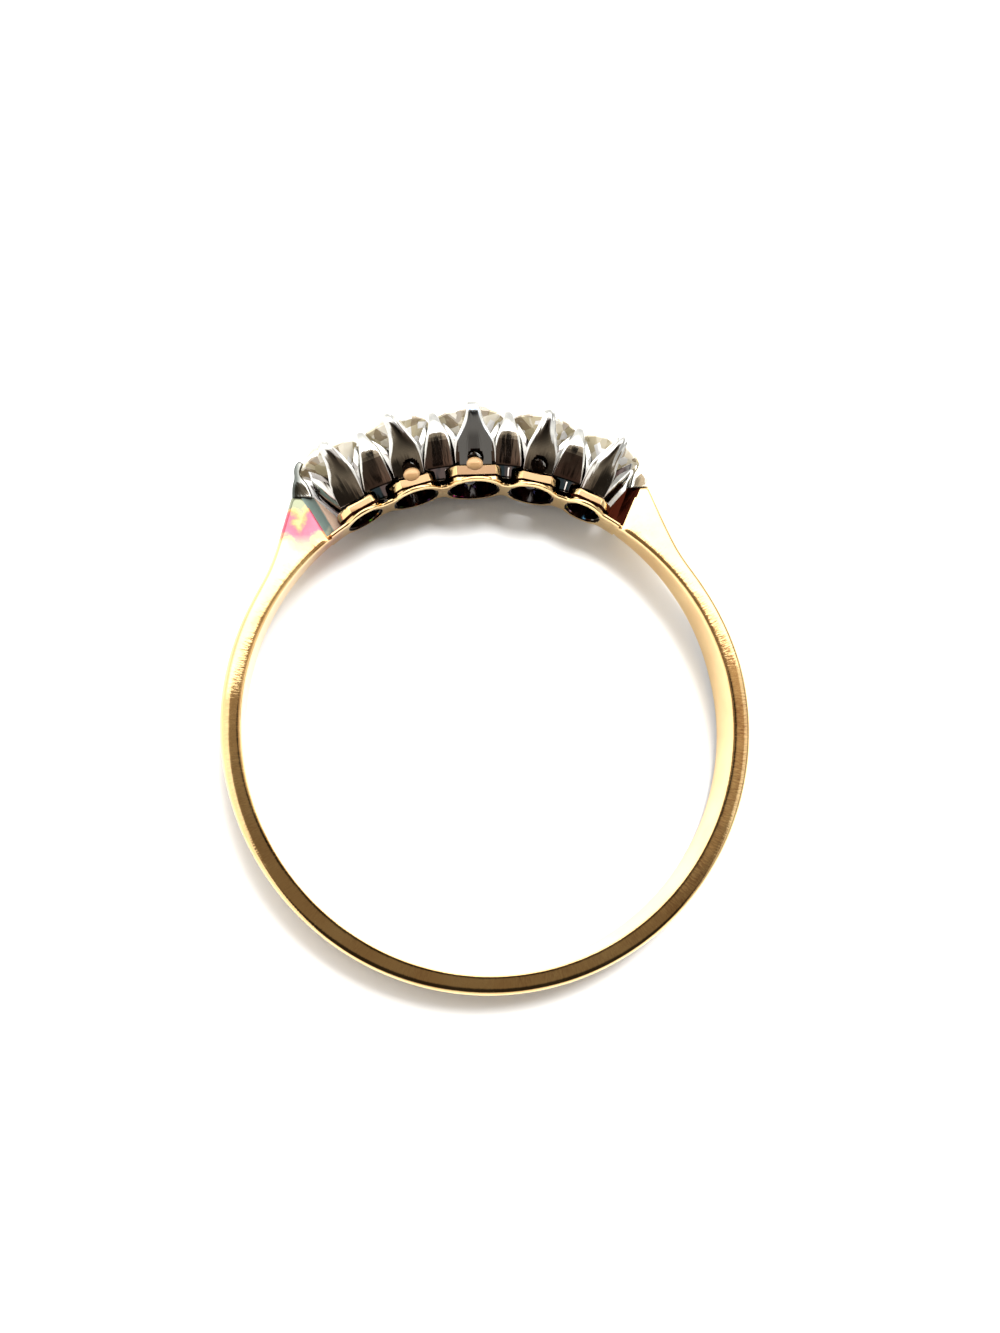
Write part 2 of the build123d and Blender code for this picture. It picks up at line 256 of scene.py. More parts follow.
def add_node(tree, kind, links=(), stops=(), **settings):
    """Adds a node. A setting is a property of the node or else an input's value. A link gives an input the
    first output of a node, a socket or a value. Stops are a ramp's places, each with a hex code or a grey."""
    made = tree.nodes.new("ShaderNode" + kind)
    for name, value in settings.items():
        if hasattr(made, name):
            setattr(made, name, value)
        else:
            made.inputs[name.replace("_", " ")].default_value = value
    for name, source in links:
        if isinstance(source, bpy.types.Node):
            source = next(socket for socket in source.outputs if socket.enabled)
        if isinstance(source, bpy.types.NodeSocket):
            tree.links.new(source, made.inputs[name])
        else:
            made.inputs[name].default_value = source
    for number, (position, colour) in enumerate(stops):
        elements = made.color_ramp.elements
        element = elements[number] if number < 2 else elements.new(position)
        element.position = position
        element.color = linear(colour) if isinstance(colour, str) else (colour, colour, colour, 1.0)
    return made


def emptied(owner):
    """A new material or world with no nodes, and the function that adds a node to it."""
    owner.use_nodes = True
    owner.node_tree.nodes.clear()
    return owner, partial(add_node, owner.node_tree)


def ring_ways(add):
    """The place, its two parts across and up the ring, its distance from the ring's centre, and the vector
    (angle round the finger, distance) along which file marks are stretched."""
    place = add("TexCoord").outputs["Object"]
    parts = add("SeparateXYZ", [("Vector", place)]).outputs
    around = add("Math", [(0, parts["X"]), (1, parts["Y"])], operation="ARCTAN2")
    away = add("VectorMath", [(0, place)], operation="LENGTH")
    strokes = add("CombineXYZ", [("X", around), ("Y", away)])
    return place, parts["X"], parts["Y"], away, strokes


def cover(material, add, layer, layers=(), **inputs):
    """Lays each layer, a share and a colour, over those before it, and makes the surface with its inputs."""
    for share, colour in layers:
        layer = add("Mix", zip(MIX, (share, layer, colour)), data_type="RGBA")
    surface = add("BsdfPrincipled", [("Base Color", layer), *inputs.items()])
    add("OutputMaterial", [("Surface", surface)])
    print(material.name, len(material.node_tree.nodes), "nodes")


# %% [markdown]
# ### Yellow gold, 18 carat, polished and then worn
#
# Worn gold keeps a clear reflection, but fine dents and hairlines spread each highlight, and skin and soap
# leave it a little rosy in places. Its colour comes only from what it reflects.

# %% Yellow gold
# Size of the rosier patches in mm
cloud = 1.6
gold, add = emptied(bpy.data.materials.new("worn_yellow_gold"))
place, right, up, away, strokes = ring_ways(add)
clouds = add("TexNoise", [("Vector", place)], Scale=1000 / cloud, Detail=3.0)
tones = add("ValToRGB", [("Fac", clouds)], stops=[(0.35, "#F0CA90"), (0.65, "#F8D89E")])
gloss = add("MapRange", zip(SPAN, (clouds, 0.3, 0.7, 0.07, 0.14)))

# %% [markdown]
# ### Films on the gold
#
# The heat of soldering left a thin film on the left shoulder. As such a film grows thicker, its colour runs
# from straw through rose to grey. Here the thickness rises towards the head and wavers in blots, and a ramp
# of colours reads it. Elsewhere a mark on each face says which dull film it has, if any, or that it gets a
# near-black painted shade, as the grooves and the right shoulder's end do.

# %% Patina on the left shoulder, the other films, and painted shade
# In mm: how far up the ring the film grows, and the size of its blots. It lies on the left shoulder alone,
# from 4.8 to 5.5 mm across and from 6 to 7 mm up
patina_low, patina_high, blot = 6.3, 8.6, 1.1
rise = add("MapRange", zip(SPAN, (up, patina_low / 1000, patina_high / 1000, 0.0, 0.45)))
blots = add("TexNoise", [("Vector", place)], Scale=1000 / blot, Detail=5.0)
thick = add("Math", [(0, blots), (1, 1.1), (2, rise)], operation="MULTIPLY_ADD")
patina = add("ValToRGB", [("Fac", thick)], stops=[
    (0.52, "#F8D89E"), (0.64, "#E4AC7C"), (0.73, "#C8687A"), (0.84, "#C46070"), (0.91, "#CC8A62"),
    (0.96, "#D0A274"), (1.0, "#8C9078")])
on_left = add("MapRange", zip(SPAN, (right, -0.0048, -0.0055)))
above_hoop = add("MapRange", zip(SPAN, (up, 0.0060, 0.0070)))
on_shoulder = add("Math", [(0, on_left), (1, above_hoop)], operation="MULTIPLY")
# Marks of each face: its film or painted shade, its file marks, and the gallery's painted shade
film, filed, soot = (add("Attribute", attribute_name=title).outputs["Fac"]
                     for title in ("film", "filed", "soot"))
filmed_and_shaded = add("MapRange", zip(SPAN, (film, 0.1, 0.3)))
# The ramp's stop at 0.75 is the near-black painted shade of the grooves and the right shoulder's end
coat = add("ValToRGB", [("Fac", film)], stops=[
    (0.0, "#8E7662"), (0.5, "#6A7A74"), (0.75, "#280C06"), (0.95, "#B08C62"), (0.975, "#8E6C48")])
metal = add("ValToRGB", [("Fac", film)], stops=[(0.0, 1.0), (0.3, 0.25), (0.8, 1.0), (0.95, 0.25)])
for ramp in (coat, metal):
    ramp.color_ramp.interpolation = "CONSTANT"

# %% [markdown]
# ### File marks and dents
#
# A file drawn out across the hoop's flat sides leaves short parallel scores. They are noise, stretched
# outwards to cells 0.06 mm wide and 0.23 mm long. Polishing took them away in patches. The dents are shallow
# waves of 16 thousandths of a millimetre, and both are too fine for the mesh, so they are bumps.

# %% File marks and dents
hairline, side_radius = 0.03, 9.0
stretch = add("Mapping", [("Vector", strokes)], Scale=(side_radius / hairline, 260.0 / hairline, 1.0))
scores = add("TexNoise", [("Vector", stretch)], Scale=0.5, Detail=3.0)
streaks = add("MapRange", zip(SPAN, (scores, 0.36, 0.66)))
left_in = add("MapRange", zip(SPAN, (blots, 0.38, 0.62, 0.1, 0.75)))
deep = add("Math", [(0, left_in), (1, filed)], operation="MULTIPLY")
scored = add("Math", [(0, streaks), (1, deep)], operation="MULTIPLY")
dents = add("Bump", [("Height", clouds)], Strength=1.0, Distance=0.000016)
relief = add("Bump", [("Height", scores), ("Normal", dents)], Strength=0.30, Distance=0.00001)

# %% [markdown]
# ### Dirt and painted shade on the gold
#
# Corners are darkened by the share of open sky over a point: partly brown dirt that a cloth can't reach, partly
# painted shade.
# Inside the gallery the gold is painted near black as shade, with small painted glints that stand for the fire
# of the stones.

# %% Dirt and painted shade, and the gold's layers of colour
# In mm: the size of a painted glint, and how far from a corner the dirt and painted shade reach
glint, corner_reach = 0.3, 1.0
# Dirt and painted shade in corners, from the share of open sky over a point
open_sky = add("AmbientOcclusion", samples=6, Distance=corner_reach / 1000).outputs["AO"]
corner_dirt_and_shade = add("MapRange", zip(SPAN, (open_sky, 0.70, 0.25)))
# Painted shade inside the gallery, near black, with painted glints that stand for the stones' fire
painted_glint_cells = add("TexVoronoi", [("Vector", place)], Scale=1000 / glint)
painted_fire = add("MapRange", zip(SPAN, (painted_glint_cells, 0.35, 0.05, 0.0, 0.5)))
gallery_shade_and_glints = add("Mix", zip(MIX, (painted_fire, linear("#1C0D08"), painted_glint_cells.outputs["Color"])), data_type="RGBA")
layers = [(on_shoulder, patina), (filmed_and_shaded, coat), (scored, linear("#A06A48")), (corner_dirt_and_shade, linear("#3A160A")),
          (soot, gallery_shade_and_glints)]
cover(gold, add, tones, layers, Roughness=gloss, Metallic=metal, Normal=relief)

# %% [markdown]
# ### White metal, polished platinum gone slightly grey
#
# Platinum is darker and greyer than silver. Filed and polished by hand, each face mirrors another part of
# the room, so the claws look black and white at once. Low down it is painted ruddy, a painted reflection of
# the gold, and the middle claw's face is a little blue.

# %% White metal
# In mm: the patches' size, the file strokes' width and length, and the claws' distance from the finger's axis
cloud, stroke_width, stroke_length, claw_place = 0.5, 0.25, 1.4, 10.0
platinum, add = emptied(bpy.data.materials.new("polished_platinum"))
place, right, up, away, strokes = ring_ways(add)
clouds = add("TexNoise", [("Vector", place)], Scale=1000 / cloud, Detail=3.0)
tones = add("ValToRGB", [("Fac", clouds)], stops=[(0.35, "#D0D0CC"), (0.65, "#ECECE6")])
stretch = add("Mapping", [("Vector", strokes)], Scale=(claw_place / stroke_width, 1000 / stroke_length, 1.0))
scores = add("TexNoise", [("Vector", stretch)], Scale=1.0, Detail=2.0)
gloss = add("MapRange", zip(SPAN, (clouds, 0.3, 0.7, 0.08, 0.16)))
relief = add("Bump", [("Height", scores)], Strength=1.0, Distance=0.00002)

# %% [markdown]
# ### Tarnish and painted shade on the white metal
#
# Where the stones and bases keep the light off, in the necks, inside the coronets and in the drilled holes, it
# is painted black as shade. On the faces that look forwards or backwards a dark film is partly tarnish and
# partly painted dark reflection. It is brown on the shared claws, and uneven. The right end is made near white,
# and the left end dark green. Each face's marks say how much.

# %% Tarnish and painted shade, and the white metal's layers of colour
corner_reach = 0.8
# Painted reflection of the gold: the white metal is ruddy low down
painted_gold_reflection = add("MapRange", zip(SPAN, (away, 0.0102, 0.0094, 0.0, 0.35)))
# Corners of the white metal are darkened the same way: dirt and painted shade
open_sky = add("AmbientOcclusion", samples=6, Distance=corner_reach / 1000).outputs["AO"]
corner_dirt_and_shade = add("MapRange", zip(SPAN, (open_sky, 0.65, 0.20)))
left_end = add("MapRange", zip(SPAN, (right, -0.0060, -0.0064, 0.0, 0.9)))
right_end = add("MapRange", zip(SPAN, (right, 0.0060, 0.0063)))
tarnish, brown, blue = (add("Attribute", attribute_name=title).outputs["Fac"]
                        for title in ("tarnish", "brown", "blue"))
uneven = add("MapRange", zip(SPAN, (clouds, 0.35, 0.65, 0.88, 1.02)))
amount = add("Math", [(0, tarnish), (1, uneven)], operation="MULTIPLY")
# Near-black tones of the tarnish and of the painted shade
blacks = add("ValToRGB", [("Fac", scores)], stops=[(0.42, "#141A1C"), (0.60, "#342C2A")])
dark_film_and_shade_tones = add("Mix", zip(MIX, (brown, blacks, linear("#5A342C"))), data_type="RGBA")
layers = [(painted_gold_reflection, linear("#9A7468")), (corner_dirt_and_shade, linear("#241A16")), (left_end, linear("#26302C")),
          (right_end, linear("#FBF9EE")), (blue, linear("#D2E2FA")), (amount, dark_film_and_shade_tones)]
cover(platinum, add, tones, layers, Roughness=gloss, Metallic=1.0, Normal=relief)

# %% [markdown]
# ### Old-cut diamond
#
# Diamond bends light more than any other clear thing in the scene, with an index of 2.42, so its facets
# show the metal and the room in hard patches. Here the patches are painted: a patchwork of light and dark
# tones stands for them. Old stones have a faint warm tint. A cut stone sends light back from inside, more
# than a short render can follow, and a weak glow of the same painted patches stands for it. Under its
# girdle, in the coronet's shade, it is painted dark.

# %% Diamond
# In mm: the painted patches' size, and the distances from the ring's centre over which a stone is painted
# lit and under which it is painted dark
glimpse, lit_above, dark_below = 0.38, 10.70, 10.35
diamond, add = emptied(bpy.data.materials.new("old_cut_diamond"))
place, right, up, away, strokes = ring_ways(add)
# Painted reflections: cells of light and dark tones, which also glow
painted_facet_cells = add("TexVoronoi", [("Vector", place)], Scale=1000 / glimpse)
pick = add("SeparateColor", [("Color", painted_facet_cells.outputs["Color"])])
painted_facet_tones = add("ValToRGB", [("Fac", pick)], stops=[
    (0.0, "#94846A"), (0.18, "#CFC3A4"), (0.40, "#F1EAD8"), (0.66, "#B9AD8C"), (0.82, "#FFFFFF")])
painted_facet_tones.color_ramp.interpolation = "CONSTANT"
# Painted shade: the stone is darker under its girdle
sunk = add("MapRange", zip(SPAN, (away, lit_above / 1000, dark_below / 1000)))
painted_facet_light = add("Mix", zip(MIX, (sunk, painted_facet_tones, linear("#20160F"))), data_type="RGBA")
cover(diamond, add, painted_facet_light, Roughness=0.02, IOR=2.417,
      **{"Transmission Weight": 0.30, "Emission Color": painted_facet_light, "Emission Strength": 0.22})

# %% [markdown]
# ## The hoop and its shoulders
#
# The hoop is a low D section carried round the finger. Towards the head it leans out into two shoulders,
# which narrow along the finger and end level, in line with the outer stones. The section is a loop of
# points between the finger circle and the crest line. Pairs of points close to each corner keep its edge.

# %% Sizes of the ring, in mm and degrees
hoop_width, foot_thickness, side_thickness = 1.75, 0.68, 0.74
shoulder_top, shoulder_lean, shoulder_sweep, shoulder_width = 0.76, 18.0, 0.10, 0.90
taper_start, facet_length, facet_depth, end_overlap = 82.0, 0.42, 0.26, 0.03

rail_thickness, rail_waist, lobe_rim = 0.15, 1.10, 0.19
base_height, base_setback, base_wall, groove_height, groove_depth = 0.41, 0.05, 0.22, 0.06, 0.10
seam, collet_height, collet_setback, collet_wall = 0.02, 1.02, 0.13, 0.20
drilled_hole, drilled_bite = 0.60, 0.04
girdle_height, claw_standout, stone_gap = 2.58, 0.21, 0.09
# A distance under all of the head, and the ends of the bars that cut the rail and the bases
under_head, rail_bar, base_bar = 7.0, (7.0, 9.6), (8.0, 9.7)

rail_radius = finger_radius + rail_thickness
base_top = rail_radius + base_height
groove_top = rail_radius + groove_height
drill_out = base_top - drilled_bite + drilled_hole / 2
collet_foot = base_top + seam
collet_top = collet_foot + collet_height
girdle_radius = finger_radius + girdle_height

# %% The row of stones
# Diameter of the stone, and as shares of it: the rail's lobe, the base's flat front and the base's length
Seat = namedtuple("Seat", "diameter lobe front flank drilled")
SEATS = [Seat(2.76, 0.83, 0.52, 0.75, True), Seat(2.68, 0.77, 0.40, 0.74, True),
         Seat(2.42, 0.73, 0.39, 0.75, False)]
end_radius = SEATS[2].diameter / 2
side = np.degrees(((SEATS[0].diameter + SEATS[1].diameter) / 2 + stone_gap) / girdle_radius)
end = side + np.degrees(((SEATS[1].diameter + SEATS[2].diameter) / 2 + stone_gap) / girdle_radius)
ROW = list(zip([-end, -side, 0.0, side, end], SEATS[:0:-1] + SEATS))
print("stones at", [round(angle, 2) for angle, seat in ROW], "degrees")


def beside_end_stone(along, out):
    """Points of the XY plane, given along and out from the end stone's place."""
    return swing(np.stack([along, out, 0 * out], -1), end)[..., :2]


corner = beside_end_stone(end_radius, collet_top)
shoulder_end = round_finger(corner)[0]

# %% Crest and width of the hoop
def crest_radius(angle):
    """An offset circle and the shoulder's leaning line, joined by a rounded corner (half the sum, plus the
    root of half the difference squared and the sweep squared)."""
    lean = np.radians(shoulder_lean)
    circle = finger_radius + side_thickness - (foot_thickness - side_thickness) * np.cos(np.radians(angle))
    distance = (corner[0] + shoulder_top) * np.cos(lean) + corner[1] * np.sin(lean)
    line = distance / np.cos(np.radians(np.maximum(90 - shoulder_lean - angle, 0)))
    return (line + circle) / 2 + np.sqrt(((line - circle) / 2) ** 2 + shoulder_sweep**2)


def faded(angle, at_shoulder, at_hoop):
    """Size that changes evenly from the shoulder's end to the taper's start, and then stays."""
    share = np.clip((angle - shoulder_end) / (taper_start - shoulder_end), 0, 1)
    return at_shoulder + (at_hoop - at_shoulder) * share


# %% The hoop's section, as columns of a table
# Each point of the half section: its share of the way out and mm added to it, its share of the half width
# and mm taken off it, and whether that belongs to the worn inner edge, which fades towards the foot
SECTION = np.array([
    (0, 0.00, 0.00, 0.00, 0),
    (0, 0.00, 0.60, 0.00, 0),
    (0, 0.00, 1.00, 0.12, 0),
    (0, 0.012, 1.00, 0.045, 1),
    (0, 0.03, 1.00, 0.028, 1),
    (0, 0.11, 1.00, 0.003, 1),
    (0, 0.17, 1.00, 0.00, 0),
    (1, -0.32, 1.00, 0.00, 0),
    (1, -0.20, 1.00, 0.015, 0),
    (1, -0.11, 1.00, 0.06, 0),
    (1, -0.05, 1.00, 0.13, 0),
    (1, -0.034, 0.75, 0.00, 0),
    (1, -0.015, 0.50, 0.00, 0),
    (1, -0.004, 0.25, 0.00, 0),
    (1, 0.00, 0.00, 0.00, 0),
])
SECTION = np.concatenate([SECTION, SECTION[-2:0:-1] * [1, 1, -1, 1, 1]])


def end_line():
    """Where the shoulder's leaning end meets the finger circle, as mm along from the end stone's place."""
    meeting = SEATS[2].flank * end_radius - end_overlap
    slope = (end_radius - meeting) / (collet_top - base_top)
    along = end_radius
    for step in range(6):
        out = np.sqrt(finger_radius**2 - along**2)
        along = end_radius - slope * (collet_top - out)
    return along


def half_hoop(worn_outside):
    """Loops of one half of the hoop, from a shoulder's end to the foot. Inner points lie on the finger
    circle. Outer points follow the crest, and then run level along the shoulder's top to the cut."""
    cut = end_line()
    inner_along = np.array([1.80, 1.68, 1.58, 1.45, 1.30, 1.24, 1.18, 1.05, 0.92, cut + 0.03, cut])
    level = np.array([0.12, 0.30, 0.45, 0.64, 0.86, 0.93, 0.955, 0.97, 0.98, 0.99, 1.0])
    top = round_finger(corner + [shoulder_top, 0])[0]
    radial = np.linspace(180, 44, 55)
    inner_angle = np.concatenate([radial, np.linspace(43, 41, 5),
                                  end + np.degrees(np.arcsin(inner_along / finger_radius))])
    outer_angle = np.concatenate([radial, np.linspace(42, top, 5), np.full(len(level), top)])
    inner = polar(inner_angle, finger_radius)
    outer = polar(outer_angle, crest_radius(outer_angle))
    outer[-len(level):, 0] -= shoulder_top * level
    outer[-len(level) - 1:, 1] = corner[1]
    reach = np.linalg.norm(outer - inner, axis=1)
    heading = (outer - inner) / reach[:, None]
    share, shift, width_share, width_shift, edge = SECTION.T
    angle = round_finger(inner)[0][:, None]
    rounder = 1 + worn_outside * np.exp(-((angle - 82) / 20) ** 2) * (share == 1)
    flat = inner[:, None] + heading[:, None] * (reach[:, None] * share + shift * rounder)[..., None]
    angle = round_finger(flat)[0]
    taken = width_shift * np.where(edge == 1, 1 - 0.75 * ease(angle, 85, 125), rounder)
    depth = faded(angle, shoulder_width, hoop_width) / 2 * np.abs(width_share) - taken
    along = flat @ [np.cos(np.radians(end)), -np.sin(np.radians(end))]
    facet = np.clip((along - end_radius) / facet_length, 0, None) - 1
    z = np.sign(width_share) * np.minimum(depth, shoulder_width / 2 + facet_depth * facet)
    return np.concatenate([flat, z[..., None]], -1)[::-1]


def hoop_grid():
    """Both halves joined at the foot, the left one mirrored and worn rounder outside at the ring's side."""
    right, left = half_hoop(0.0), half_hoop(0.35)
    return with_flat_ends(np.concatenate([right, left[::-1][1:] * [-1, 1, 1]]), 0.04)


hoop = finished(hoop_grid(), levels=1)
print("hoop", len(hoop.polygons), "faces, shoulders end at", round(shoulder_end, 2), "degrees")

# %% [markdown]
# ## The gallery rail
#
# Under the stones the finger circle goes on as a thin strip with a round lobe under each stone, like a row
# of coins. Its half width is the largest of the waist and of each lobe's circle, blended by a high power
# so that the inner corners are filed round. A hole is then cut through each lobe.

# %% Rail and its holes
def lobe_radius(seat):
    """Radius of the rail's round lobe under a stone."""
    return seat.lobe * seat.diameter / 2


def rail_grid():
    """Loops across the strip: half width = (sum of each half width to the 14th power) to the 1/14th."""
    angle = np.linspace(-shoulder_end - 3, shoulder_end + 3, 181)
    powers = np.full(len(angle), (rail_waist / 2) ** 14)
    for place, seat in ROW:
        along = (finger_radius + rail_thickness / 2) * np.sin(np.radians(angle - place))
        powers += np.clip(lobe_radius(seat) ** 2 - along**2, 0, None) ** 7
    half = powers ** (1 / 14)
    rim, top = 0.03, rail_thickness
    out = np.array([0, 0, 0, rim, top - rim, top, top, top, top, top, top - rim, rim, 0, 0])
    width = np.array([0, 0.6, 1, 1, 1, 1, 0.6, 0, -0.6, -1, -1, -1, -1, -0.6])
    inset = np.array([0, 0, 1, 0, 0, 1, 0, 0, 0, -1, 0, 0, -1, 0]) * rim
    z = half[:, None] * width - inset
    flat = polar(np.broadcast_to(angle[:, None], z.shape), finger_radius + out)
    return np.concatenate([flat, z[..., None]], -1)


lobe_holes = [as_object("hole", drum(lobe_radius(seat) - lobe_rim, *rail_bar), angle)
              for angle, seat in ROW]
rail = finished(rail_grid(), levels=1, cutters=lobe_holes, bevel=0.025)
print("rail", len(rail.polygons), "faces")

# %% [markdown]
# ## The gold bases
#
# A low eight-sided block stands on the rail under each stone, on a slightly smaller neck. It is hollow, and
# the small holes drilled through the claws just bite into its top. A bevel catches the light on its edges.

# %% Bases
def base_depth(seat):
    """Distance of a base's front face from the middle of the ring's width."""
    return lobe_radius(seat) - base_setback


def base_outline(seat, inset):
    """Eight corners (x, z) of a base, its faces moved in by the inset."""
    front, flank = seat.front * seat.diameter / 2, seat.flank * seat.diameter / 2
    depth = base_depth(seat)
    back = depth - (flank - front)
    depth, flank = depth - inset, flank - inset
    half = np.array([(flank, back), (front, depth), (-front, depth), (-flank, back)])
    return np.concatenate([half, -half])


def base_grid(seat):
    """The outline carried up: the neck, from inside the rail, and then the block with its filed top."""
    filed_edge = 0.02 if seat is SEATS[0] else 0.09
    levels = [(rail_radius - 0.12, groove_depth), (rail_radius + 0.002, groove_depth),
              (groove_top, groove_depth), (groove_top, 0.0),
              (base_top - filed_edge, 0.0), (base_top, filed_edge)]
    return np.stack([np.insert(base_outline(seat, inset), 1, out, axis=1) for out, inset in levels])


def drills(angle, seat):
    """Bar of the small hole through the foot of the wide claws, from front to back, where there is one."""
    bar = drum(drilled_hole / 2, -3.0, 3.0, around=40)[..., [0, 2, 1]] + [0, drill_out, 0]
    return [as_object("drill", bar, angle)] if seat.drilled else []


bases = []
for angle, seat in ROW:
    bore = drum(base_depth(seat) - base_wall, *base_bar)
    tools = [as_object("bore", bore, angle), *drills(angle, seat)]
    bases.append(finished(base_grid(seat), angle, levels=0, cutters=tools, bevel=0.035))
print("bases", sum(len(mesh.polygons) for mesh in bases), "faces")

# %% [markdown]
# ### Beads of solder
#
# Solder that ran out of the joint fills the foot of two drilled holes. Each bead is a ball, squashed from
# front to back, and its middle is set just over the base's edge.

# %% Beads of solder
bead_half = np.array([0.31, 0.24, 0.11])


def bead_grid(seat):
    """Loops of an ellipsoid: cos(rise) cos(turn), sin(rise), cos(rise) sin(turn), times the half sizes."""
    turn = np.linspace(0, 2 * np.pi, 24, endpoint=False)
    rise = np.radians(np.linspace(-84, 84, 13))[:, None]
    ball = [np.cos(rise) * np.cos(turn), np.sin(rise) + 0 * turn, np.cos(rise) * np.sin(turn)]
    return np.stack(ball, -1) * bead_half + [-0.04, base_top + 0.06, base_depth(seat)]


beads = [finished(bead_grid(seat), angle, levels=0) for angle, seat in ROW[1:3]]
print("beads", sum(len(mesh.polygons) for mesh in beads), "faces")

# %% [markdown]
# ### Marks on the gold's faces
#
# The finish needs to know where each face is. The holes under the stones are painted black as shade, a file has
# left its marks on the hoop's flat sides, mostly on the right, each block and the left shoulder's end has its
# own dull film, and the grooves and the right shoulder's end get painted shade. A face's marks come from where
# its middle is and which way it looks.

# %% Solder the gold together
# The film mark of each kind of face, between the stops of the colour ramp in the gold's finish. The shade
# mark is a near-black painted shade
FILMS_AND_SHADE = dict(web=0.4, facet=0.6, shade=0.9, block=0.96, middle_block=0.99)


def gold_marks(middles, normals):
    """The gallery's painted shade is full nearer to a stone's axis than the bore. The film mark is that of the
    web or facet at a shoulder's end, a near-black painted shade on the right end and the grooves, or that of a
    block or bead. Filed is for the sides."""
    soot, film = np.zeros(len(middles)), np.zeros(len(middles))
    angle, out = round_finger(middles)
    upright = np.abs(normals[:, 2])
    for place, seat in ROW:
        beside = swing(middles, -place)
        bore = max(base_depth(seat) - base_wall, lobe_radius(seat) - lobe_rim)
        soot[(beside[:, 1] > under_head) & (np.hypot(beside[:, 0], beside[:, 2]) < bore + 0.012)] = 1.0
    at_end = np.abs(middles[:, 0]) * np.cos(np.radians(end)) - middles[:, 1] * np.sin(np.radians(end))
    sunk = (upright > 0.5) & (np.abs(middles[:, 2]) < shoulder_width / 2 - 0.02)
    on_end = (middles[:, 1] > 0) & sunk & (out > rail_radius) & (at_end < end_radius + facet_length)
    film[on_end & (at_end > end_radius)] = FILMS_AND_SHADE["facet"]
    film[on_end & (at_end > 0.70) & (at_end < end_radius)] = FILMS_AND_SHADE["web"]
    film[on_end & (at_end > 0.70) & (middles[:, 0] > 0)] = FILMS_AND_SHADE["shade"]
    above_rail = (out > rail_radius + 0.004) & (out < base_top + 0.4) & (np.abs(angle) < end + 5)
    facing_in = (normals[:, :2] * middles[:, :2]).sum(axis=1) < -0.3 * out
    film[above_rail & (out < groove_top + np.where(facing_in, 0.07, 0.012))] = FILMS_AND_SHADE["shade"]
    on_block = above_rail & (out > groove_top + 0.012) & (upright > 0.97)
    film[on_block] = FILMS_AND_SHADE["block"]
    film[on_block & (np.abs(angle) < side / 2)] = FILMS_AND_SHADE["middle_block"]
    for place, seat in ROW[1:3]:
        x, y, z = swing(middles, -place).T
        film[(np.abs(x) < 0.4) & (y > base_top - 0.2) & (z > base_depth(seat) + 0.003)] = FILMS_AND_SHADE["block"]
    flat_side = ease(upright, 0.80, 0.95) * ease(np.abs(angle), 66, 72)
    filed = flat_side * np.where(angle > 0, 1 - 0.5 * ease(angle, 135, 150), 0.3)
    return dict(soot=soot, film=film, filed=filed)


solder("gold_shank", [hoop, rail, *bases, *beads], "shank", gold, gold_marks, crease=30)

# %% [markdown]
# ## The coronets
#
# Each stone sits in a tapered tube of white metal, sawn down in a V between its claws. The tube's rim is
# therefore low in the middle of each gap and high at each claw: the height falls in a straight line with
# the share of the way from a claw to the middle of the gap.

# %% Tapered tubes with sawn rims
def rim_height(turn, claws):
    """Height of the sawn rim: from the claw's shoulder down to the notch, in a straight line."""
    apart = np.abs((turn[:, None] - claws + np.pi) % (2 * np.pi) - np.pi)
    nearest = apart.min(axis=1)
    ordered = np.sort(claws)
    gaps = np.diff(np.append(ordered, ordered[0] + 2 * np.pi))
    slot = (np.searchsorted(ordered, turn % (2 * np.pi), side="right") - 1) % len(ordered)
    share = np.clip(nearest / (gaps[slot] / 2), 0, 1)
    return collet_top + 0.75 * (1 - share)


def tube_grid(seat):
    """Loops across the wall, carried round the stone's axis: foot, outside, sawn rim and inside."""
    foot = base_depth(seat) - collet_setback
    slope = (seat.diameter / 2 - collet_setback - foot) / collet_height
    turn = np.linspace(0, 2 * np.pi, 120, endpoint=False)
    beside = np.arctan2((seat.diameter / 2 + stone_gap / 2), 0.78 * seat.diameter / 2)
    claws = np.array([0, beside, np.pi - beside, np.pi, np.pi + beside, 2 * np.pi - beside])
    rim = rim_height(turn, claws)
    up = np.array([0, 0, 0, 0.5, 1, 1, 1, 1, 1, 1, 1, 0.5, 0, 0])
    down = np.array([0, 0, -0.03, 0, 0.29, 0.27, 0.24, 0.015, 0, 0, 0.03, 0, -0.03, 0])
    back = np.array([collet_wall - 0.03, 0.03, 0, 0, 0, 0.005, 0.02, 0.15, 0.165, *[collet_wall] * 5])
    back[9] -= 0.015
    out = collet_foot + (rim[:, None] - collet_foot) * up - down
    radius = foot + (out - collet_foot) * slope - back
    return np.stack([radius * np.sin(turn)[:, None], out, radius * np.cos(turn)[:, None]], -1)


# %% [markdown]
# ## The wide claws
#
# In front and behind, each stone is held by a wide claw: broad at the foot, drawn in by a double curve to a
# narrow neck, and bent over the crown. Its face is filed flat, with a bevel along both sides that catches
# the light. The form is a section carried up a bent path. Each claw was bent by hand, so some lean.

